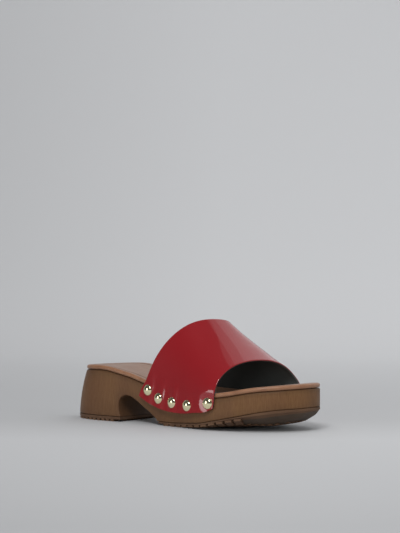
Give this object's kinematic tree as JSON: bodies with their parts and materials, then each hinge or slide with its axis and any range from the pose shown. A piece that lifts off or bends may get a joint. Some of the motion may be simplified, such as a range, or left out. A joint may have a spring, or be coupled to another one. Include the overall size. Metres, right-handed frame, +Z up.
{
  "type": "heeled slide sandal",
  "caption": "Slip-on sandal for the right foot: a wide patent band over the instep, nailed to a wood-look platform with a block heel and rubber underneath.",
  "frame": {"origin": "on the floor, under the middle of the box that holds the whole sandal", "axes": "+X from the heel to the toe, +Y to the wearer's left, which is the inner side of this right shoe, +Z up"},
  "size_m": [0.2624, 0.1022, 0.0964],
  "materials": {
    "platform": "satin, fine upright grain",
    "rubber": "matt, ribbed",
    "insole": "smooth, rolled edge",
    "band": "patent gloss",
    "nail": "polished pale gold"
  },
  "bodies": {
    "root": {"platform": "platform", "heel_rubber": "rubber", "forefoot_rubber": "rubber", "insole": "insole", "upper_band": "band", "nail_outer_1": "nail", "nail_outer_2": "nail", "nail_outer_3": "nail", "nail_outer_4": "nail", "nail_outer_5": "nail", "nail_inner_1": "nail", "nail_inner_2": "nail", "nail_inner_3": "nail", "nail_inner_4": "nail", "nail_inner_5": "nail"}
  },
  "joints": []
}
